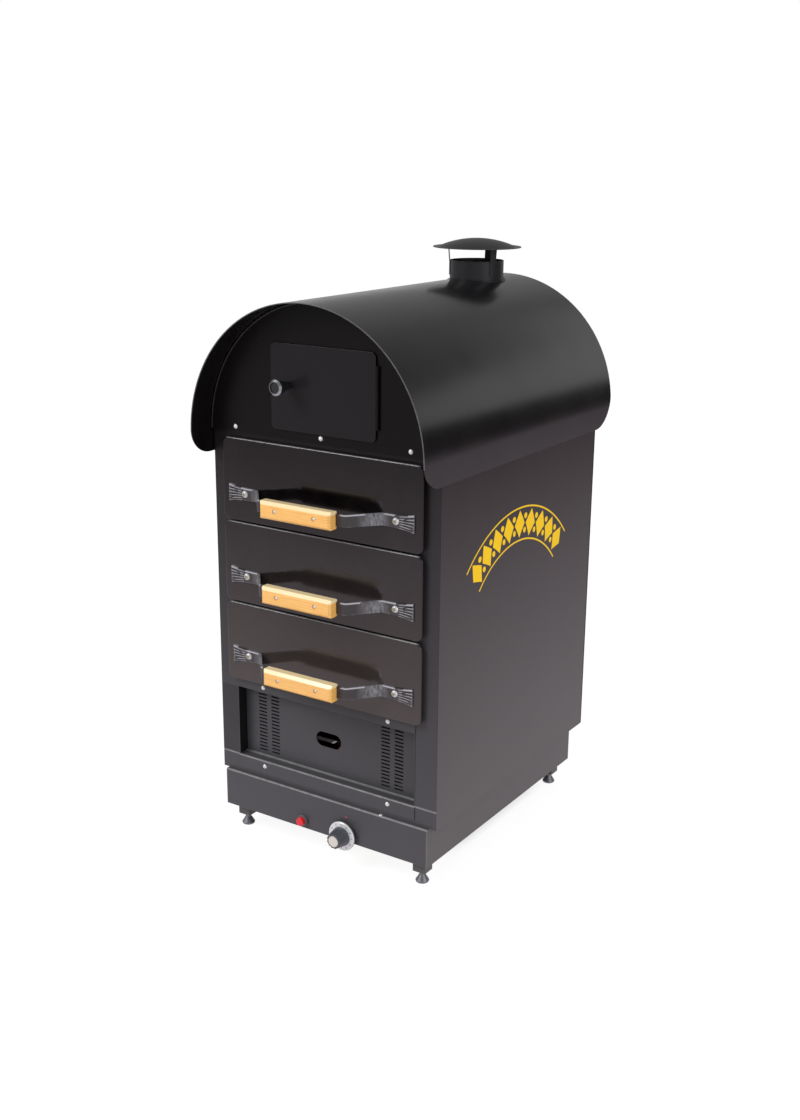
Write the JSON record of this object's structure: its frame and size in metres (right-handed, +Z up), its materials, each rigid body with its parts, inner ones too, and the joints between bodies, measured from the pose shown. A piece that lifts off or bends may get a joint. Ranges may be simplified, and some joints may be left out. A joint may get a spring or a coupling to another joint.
{
  "type": "baked potato oven",
  "caption": "Gas-fired potato oven: arched hood with a small warming door and capped flue, stacked drawers with wooden-gripped handles, vented burner cover and plinth with dial and red igniter.",
  "frame": {"origin": "on the floor, under the middle of the plan outline", "axes": "+Z up, the drawers and the door face -Y, +X to the right of someone facing the drawers"},
  "size_m": [0.456, 0.669, 1.03],
  "materials": {
    "black_enamel": "semi-gloss black paint with soft reflections",
    "galvanised_steel": "dull zinc-coated sheet",
    "stainless_steel": "brushed stainless sheet",
    "mineral_wool": "matt, fibrous",
    "burner_steel": "heat-darkened steel",
    "copper_pipe": "dull copper tube",
    "brass_fitting": "machined brass",
    "grey_bezel": "satin light grey",
    "ceramic_rod": "glazed white ceramic",
    "screw_steel": "bright zinc-plated steel",
    "door_knob_black": "glossy black with a polished end chamfer",
    "dial_silver": "satin silver with dark marks",
    "knob_grey": "satin grey, fluted",
    "cap_silver": "brushed silver disc",
    "button_red": "glossy red",
    "foot_steel": "dark plated steel with soft highlights",
    "handle_black": "black paint worn to bright steel along the edges",
    "varnished_wood": "glossy orange-brown varnish"
  },
  "bodies": {
    "cabinet": {"side_panel_left": "black_enamel", "side_panel_right": "black_enamel", "front_frame": "black_enamel", "back_panel": "black_enamel", "base_plate": "galvanised_steel", "plinth_front": "black_enamel", "plinth_skirt": "black_enamel", "corner_legs": "black_enamel", "hood": "black_enamel", "fascia": "black_enamel", "chamber_floor": "galvanised_steel", "oven_liner": "stainless_steel", "insulation_slabs": "mineral_wool", "drawer_runners": "galvanised_steel", "burner_cover": "black_enamel", "burner": "burner_steel", "burner_feed_pipe": "copper_pipe", "heat_baffle": "galvanised_steel", "gas_pipe": "copper_pipe", "gas_inlet": "brass_fitting", "thermostat_valve": "brass_fitting", "igniter_housing": "grey_bezel", "igniter_electrode": "ceramic_rod", "flue_stub": "black_enamel", "flue_cowl": "black_enamel", "cowl_straps": "black_enamel", "panel_screws": "screw_steel", "door_hinge_fixed": "black_enamel", "door_catch": "galvanised_steel"},
    "top_door": {"top_door_panel": "black_enamel", "top_door_inner": "black_enamel", "top_door_knob": "door_knob_black", "top_door_hinge_leaf": "black_enamel"},
    "thermostat": {"thermostat_dial": "dial_silver", "thermostat_knob": "knob_grey", "thermostat_cap": "cap_silver"},
    "igniter": {"igniter_button": "button_red"},
    "foot_front_left": {"foot_front_left": "foot_steel"},
    "foot_front_right": {"foot_front_right": "foot_steel"},
    "foot_rear_left": {"foot_rear_left": "foot_steel"},
    "foot_rear_right": {"foot_rear_right": "foot_steel"},
    "drawer_top": {"drawer_top_front": "black_enamel", "drawer_top_tray": "stainless_steel", "drawer_top_rack": "stainless_steel", "drawer_top_handle": "handle_black", "drawer_top_grip": "varnished_wood", "drawer_top_screws": "screw_steel"},
    "drawer_middle": {"drawer_middle_front": "black_enamel", "drawer_middle_tray": "stainless_steel", "drawer_middle_rack": "stainless_steel", "drawer_middle_handle": "handle_black", "drawer_middle_grip": "varnished_wood", "drawer_middle_screws": "screw_steel"},
    "drawer_bottom": {"drawer_bottom_front": "black_enamel", "drawer_bottom_tray": "stainless_steel", "drawer_bottom_rack": "stainless_steel", "drawer_bottom_handle": "handle_black", "drawer_bottom_grip": "varnished_wood", "drawer_bottom_screws": "screw_steel"}
  },
  "joints": [
    {"name": "drawer_top_slide", "type": "slide", "parent": "cabinet", "child": "drawer_top", "axis": [0, -1, 0], "range_m": [0, 0.33]},
    {"name": "drawer_middle_slide", "type": "slide", "parent": "cabinet", "child": "drawer_middle", "axis": [0, -1, 0], "range_m": [0, 0.33]},
    {"name": "drawer_bottom_slide", "type": "slide", "parent": "cabinet", "child": "drawer_bottom", "axis": [0, -1, 0], "range_m": [0, 0.33]},
    {"name": "top_door_hinge", "type": "hinge", "parent": "cabinet", "child": "top_door", "pos_m": [0.1128, -0.2662, 0.8185], "axis": [0, 0, 1], "range_deg": [0, 105]},
    {"name": "thermostat_turn", "type": "hinge", "parent": "cabinet", "child": "thermostat", "pos_m": [0.047, -0.2755, 0.0585], "axis": [0, -1, 0], "range_deg": [0, 270]},
    {"name": "igniter_press", "type": "slide", "parent": "cabinet", "child": "igniter", "axis": [0, 1, 0], "range_m": [0, 0.005], "stiffness_N_per_m": 900, "springref_m": -0.001},
    {"name": "foot_front_left_adjust", "type": "slide", "parent": "cabinet", "child": "foot_front_left", "axis": [0, 0, 1], "range_m": [-0.008, 0.004]},
    {"name": "foot_front_right_adjust", "type": "slide", "parent": "cabinet", "child": "foot_front_right", "axis": [0, 0, 1], "range_m": [-0.008, 0.004]},
    {"name": "foot_rear_left_adjust", "type": "slide", "parent": "cabinet", "child": "foot_rear_left", "axis": [0, 0, 1], "range_m": [-0.008, 0.004]},
    {"name": "foot_rear_right_adjust", "type": "slide", "parent": "cabinet", "child": "foot_rear_right", "axis": [0, 0, 1], "range_m": [-0.008, 0.004]}
  ]
}
